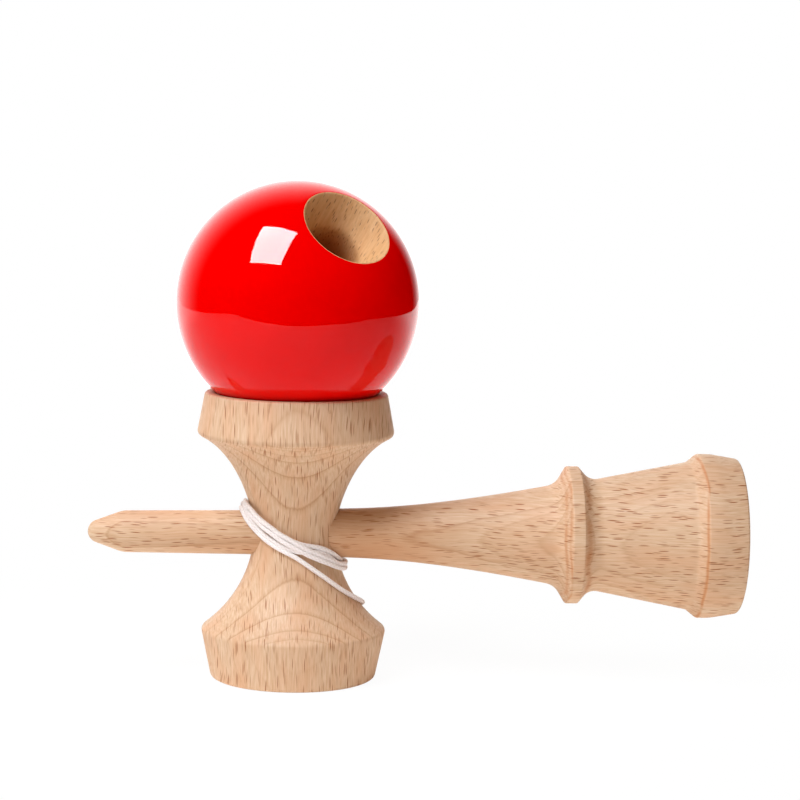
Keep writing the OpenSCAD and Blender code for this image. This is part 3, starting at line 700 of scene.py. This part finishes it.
# Crosspiece: the turned outline, bored through for the handle and drilled at the back for the string
crossPiece = makePiece("cupCrosspiece", turnedGrid(crossOutline, np.zeros(3), [0, 0, 1], cross["around"]), [crossBeech])
spikeBoreR, handleBoreR = cross["seatSpike"] / 2 + cross["seatGap"], cross["seatHandle"] / 2 + cross["seatGap"]
boreEnd = seatHalf + cross["borePast"]
boreLine = [[0, -boreEnd], [spikeBoreR, -boreEnd], [spikeBoreR, -seatHalf],
            [handleBoreR, seatHalf], [handleBoreR, boreEnd], [0, boreEnd]]
drillR, flareFrom = cross["stringHole"] / 2, cross["waist"] / 2 - cross["flareDepth"]
flareTo = flareFrom + cross["holeFlare"]
drillLine = [[0, 0], [drillR, 0], [drillR, flareFrom], [drillR + cross["holeFlare"], flareTo], [0, flareTo]]
cutAway(crossPiece, [makePiece("seatBore", turnedGrid(boreLine, onAxis, [1, 0, 0], cross["boreAround"]), []),
                     makePiece("stringDrill", turnedGrid(drillLine, onAxis, [0, 1, 0], cross["drillAround"]), [])])
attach(crossPiece, "frame")
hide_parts("cup_crosspiece")
print("crosspiece: faces", len(crossPiece.data.polygons))

# Handle: spike, tapered seat, grip, collar, neck, base and its hollow
handle = dict(reach=handleHigh[0], spikeReach=-handleLow[0], tip=2.9, noseAngle=20, noseRound=8, spike=10.3,
              gripFrom=1.2, gripPullSeat=(0.4, 16.5), gripPullEnd=(2.9, 15.5), gripBefore=5.1, gripUnder=0.5,
              # The last three on this line: place, reach and share of painted shade on the grip beside the crosspiece
              gripRise=2.7, gripRound=5, grip=25.2, gripShadeAt=17, gripShadeReach=30, gripShadeShare=0.4,
              collarBack=41.5, collar=34.2, collarWidth=2.8, collarRounds=(0.5, 0.4),
              neck=27.2, neckPast=3, neckRound=4, base=36.9, baseBefore=2.5, baseRound=2,
              lip=41, lipLength=10, lipRound=0.9, lipStraight=3, lipCurve=14, rim=38.7, rimRound=0.8,
              mouth=35.2, mouthBefore=0.6, mouthRound=0.4, depth=14, pocketGap=1.4, fill=1.2, around=224)
collarAt, lipAt = handle["reach"] - handle["collarBack"], handle["reach"] - handle["lipLength"]


# Radius against the place along the axis, from the spike's tip to the middle of the base's hollow
def handleOutline():
    h = handle
    nose = math.radians(h["noseAngle"])
    noseEnd = (-h["spikeReach"] + h["tip"] * (1 - math.sin(nose))
               + (h["spike"] / 2 - h["tip"] * math.cos(nose)) / math.tan(nose))
    collarFrom, collarTo = collarAt - h["collarWidth"] / 2, collarAt + h["collarWidth"] / 2
    angle = np.linspace(0, math.pi / 2 - nose, curvePoints["spikeTip"])
    tip = np.stack([h["tip"] * np.sin(angle), -h["spikeReach"] + h["tip"] * (1 - np.cos(angle))], 1)
    tip[0, 0] = 0
    grip = cubicCurve([cross["seatHandle"] / 2 + cross["seatGap"], seatHalf + h["gripFrom"]], h["gripPullSeat"],
                      [h["grip"] / 2 - h["gripUnder"], collarFrom - h["gripBefore"]], h["gripPullEnd"],
                      curvePoints["grip"])
    front = roundedLine([[*tip[-1], 0], [h["spike"] / 2, noseEnd, h["noseRound"]],
                         [cross["seatSpike"] / 2, -seatHalf, 0], [cross["seatHandle"] / 2, seatHalf, 0], [*grip[0], 0]])
    back = roundedLine([[*grip[-2], 0], [*grip[-1], 0], [h["grip"] / 2, collarFrom - h["gripRise"], h["gripRound"]],
                        [h["collar"] / 2, collarFrom, h["collarRounds"][0]],
                        [h["collar"] / 2, collarTo, h["collarRounds"][1]],
                        [h["neck"] / 2, collarTo + h["neckPast"], h["neckRound"]],
                        [h["base"] / 2, lipAt - h["baseBefore"], h["baseRound"]],
                        [h["lip"] / 2, lipAt, h["lipRound"]], [h["lip"] / 2, lipAt + h["lipStraight"], h["lipCurve"]],
                        [h["rim"] / 2, h["reach"], h["rimRound"]], [h["mouth"] / 2 + h["mouthBefore"], h["reach"], 0]])
    hollow = hollowLine(h["mouth"], h["depth"], h["reach"], -1, h["mouthRound"])
    line = np.concatenate([front[:-1], grip[:-1], back[1:-1]])
    return np.concatenate([tip[:-1], fillLong(line, h["fill"]), hollow])


# Each ring's place along the handle, its width and its strength: burnished lines on the collar's left flank and at the
# lip's step, and painted crease shade just right of the collar
ringsAndCreaseShade = ((collarAt - 2.6, 0.45, 0.5), (collarAt - 1.7, 0.4, 0.5), (collarAt + 2.6, 1.5, 0.5),
                (lipAt - 0.5, 0.55, 0.6))
# The grip's painted shade by the crosspiece: its axis, middle, reach and share
gripShade = ((1, 0, 0), handle["gripShadeAt"], handle["gripShadeReach"], handle["gripShadeShare"])
handleBeech = beechWood("beechHandle", handleGrain, ringsAndCreaseShade, gripShade)
handlePiece = makePiece("turnedHandle", turnedGrid(handleOutline(), onAxis, [1, 0, 0], handle["around"]), [handleBeech])
pocketR, pocketFloor = (string["knot"] + handle["pocketGap"]) / 2, string["knotLength"] + string["knotGap"] - seatMid
pocketLine = [[0, -cross["seatHandle"]], [pocketR, -cross["seatHandle"]], [pocketR, pocketFloor],
              [drillR, pocketFloor], [drillR, cross["seatHandle"]], [0, cross["seatHandle"]]]
cutAway(handlePiece, [makePiece("knotPocket", turnedGrid(pocketLine, onAxis, [0, 1, 0], cross["drillAround"]), [])])
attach(handlePiece, "frame")
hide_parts("handle")
print("handle: faces", len(handlePiece.data.polygons))

# Studio, in metres: a pale sheet on a table, one softbox to the upper left, a bright backdrop and a dark room in front
studio = dict(sheet=((-0.62, -0.32), (0.16, -0.31), (0.48, -0.20), (0.61, 0.02), (0.68, 0.30), (0.72, 1.4),
                     (-0.76, 1.4), (-0.70, 0.17)),
              sheetPale="#fbfbf9", sheetFarFrom=0.02, sheetFarTo=0.4, sheetFarMirrored=2.35,
              shadowNear=0.05, shadowFar=0.16, shadowShare=0.05, tableGlow=0.2,
              lightPlace=(-0.304, -0.344, 0.745), lightTurn=7.8, lightWidth=0.418, lightHeight=0.513,
              lightPower=7.5, lightColour=(0.95, 1.0, 1.07), lightFront=41.5, frontGap=0.005,
              frontRoom="#7d6754", backdropGlow=1.35, backdropMirrored=2.3, backdropFrom=0.27, backdropTo=0.97,
              backdropRight=0.6)
white, black = (1, 1, 1, 1), (0, 0, 0, 1)


# A flat piece of the set, from its corners
def setPiece(name, corners, material):
    mesh = bpy.data.meshes.new(name)
    mesh.from_pydata(corners, [], [tuple(range(len(corners)))])
    mesh.materials.append(material)
    piece = bpy.data.objects.new(name, mesh)
    bpy.context.scene.collection.objects.link(piece)
    return piece


# White studio paper: the camera sees it white with a soft shadow close to the object,
# other light bounces off the matt paper itself, and some light comes through it
paper, tree, shader = newMaterial("paleFloorPaper", {
    "Roughness": 0.9, "Specular IOR Level": 0.1, "Base Color": hexColour(studio["sheetPale"]),
    "Emission Color": white, "Emission Strength": studio["tableGlow"]})
sight = addNode(tree, "LightPath").outputs
place = addNode(tree, "TexCoord").outputs["Object"]
plain = spread(tree, vectorCalc(tree, "LENGTH", place), studio["shadowNear"], studio["shadowFar"],
               1 - studio["shadowShare"], 1.0, soft=True)
far = spread(tree, splitAxes(tree, place)["Y"], studio["sheetFarFrom"], studio["sheetFarTo"], soft=True)
amount = calc(tree, "ADD", calc(tree, "MULTIPLY", sight["Is Camera Ray"], plain),
              calc(tree, "MULTIPLY", sight["Is Glossy Ray"], far))
power = spread(tree, sight["Is Glossy Ray"], 0.0, 1.0, 1.0, studio["sheetFarMirrored"])
glow = addNode(tree, "Emission", {"Color": white, "Strength": power})
mixed = addNode(tree, "MixShader", {"Fac": amount, 1: shader.outputs["BSDF"], 2: glow.outputs["Emission"]})
tree.links.new(mixed.outputs["Shader"], tree.nodes["Material Output"].inputs["Surface"])
floor = setPiece("floor", [(x, y, 0) for x, y in studio["sheet"]], paper)

# The room: warm and dim in front, bright behind and dimmer on the right. Shiny surfaces see its front black
world = bpy.data.worlds.new("studioRoom")
bpy.context.scene.world = world
world.use_nodes = True
tree = world.node_tree
room = tree.nodes["Background"]
axes = splitAxes(tree, addNode(tree, "TexCoord").outputs["Generated"])
rightward = calc(tree, "MAXIMUM", axes["X"], 0.0)
backward = calc(tree, "MULTIPLY_ADD", rightward, -studio["backdropRight"], axes["Y"])
behind = spread(tree, backward, studio["backdropFrom"], studio["backdropTo"], soft=True)
sight = addNode(tree, "LightPath").outputs
front = mixColours(tree, sight["Is Glossy Ray"], studio["frontRoom"], black)
bright = spread(tree, sight["Is Glossy Ray"], 0.0, 1.0, studio["backdropGlow"], studio["backdropMirrored"])
tree.links.new(mixColours(tree, behind, front, bright), room.inputs["Color"])
backdrop = addNode(tree, "Background", {"Color": white, "Strength": 1.0})
seen = calc(tree, "MAXIMUM", sight["Is Camera Ray"], sight["Is Transmission Ray"])
mixed = addNode(tree, "MixShader", {"Fac": seen, 1: room.outputs["Background"], 2: backdrop.outputs["Background"]})
tree.links.new(mixed.outputs["Shader"], tree.nodes["World Output"].inputs["Surface"])

# The softbox faces the ball and is rolled a little about its own aim
lightPlace, lightSize = np.array(studio["lightPlace"]), (studio["lightWidth"], studio["lightHeight"])
away = unit(lightPlace - ballCentre * mm)
level = unit(np.cross([0, 0, 1], away))
raised = np.cross(away, level)
roll = math.radians(studio["lightTurn"])
level, raised = math.cos(roll) * level + math.sin(roll) * raised, math.cos(roll) * raised - math.sin(roll) * level
lamp = bpy.data.lights.new("softbox", "AREA")
lamp.shape, lamp.energy, lamp.color = "RECTANGLE", studio["lightPower"], studio["lightColour"]
lamp.size, lamp.size_y = lightSize
softbox = bpy.data.objects.new("softbox", lamp)
softbox.matrix_world = Matrix(np.column_stack([level, raised, away, lightPlace]).tolist() + [[0, 0, 0, 1]])
bpy.context.scene.collection.objects.link(softbox)
# Softbox cloth: a glowing white front, which only shiny surfaces show
cloth, tree, shader = newMaterial("softboxCloth", {"Roughness": 1.0})
glow = addNode(tree, "Emission", {"Color": white, "Strength": studio["lightFront"]})
tree.links.new(glow.outputs["Emission"], tree.nodes["Material Output"].inputs["Surface"])
corners = np.array([[-0.5, -0.5], [0.5, -0.5], [0.5, 0.5], [-0.5, 0.5]]) * lightSize
corners = lightPlace + studio["frontGap"] * away + corners @ np.stack([level, raised])
softboxFront = setPiece("softboxFront", corners.tolist(), cloth)
softboxFront.visible_camera = softboxFront.visible_diffuse = False
softboxFront.visible_shadow = softboxFront.visible_transmission = False
bpy.context.scene.view_settings.view_transform = "Standard"
print("studio: sheet, room and softbox set")
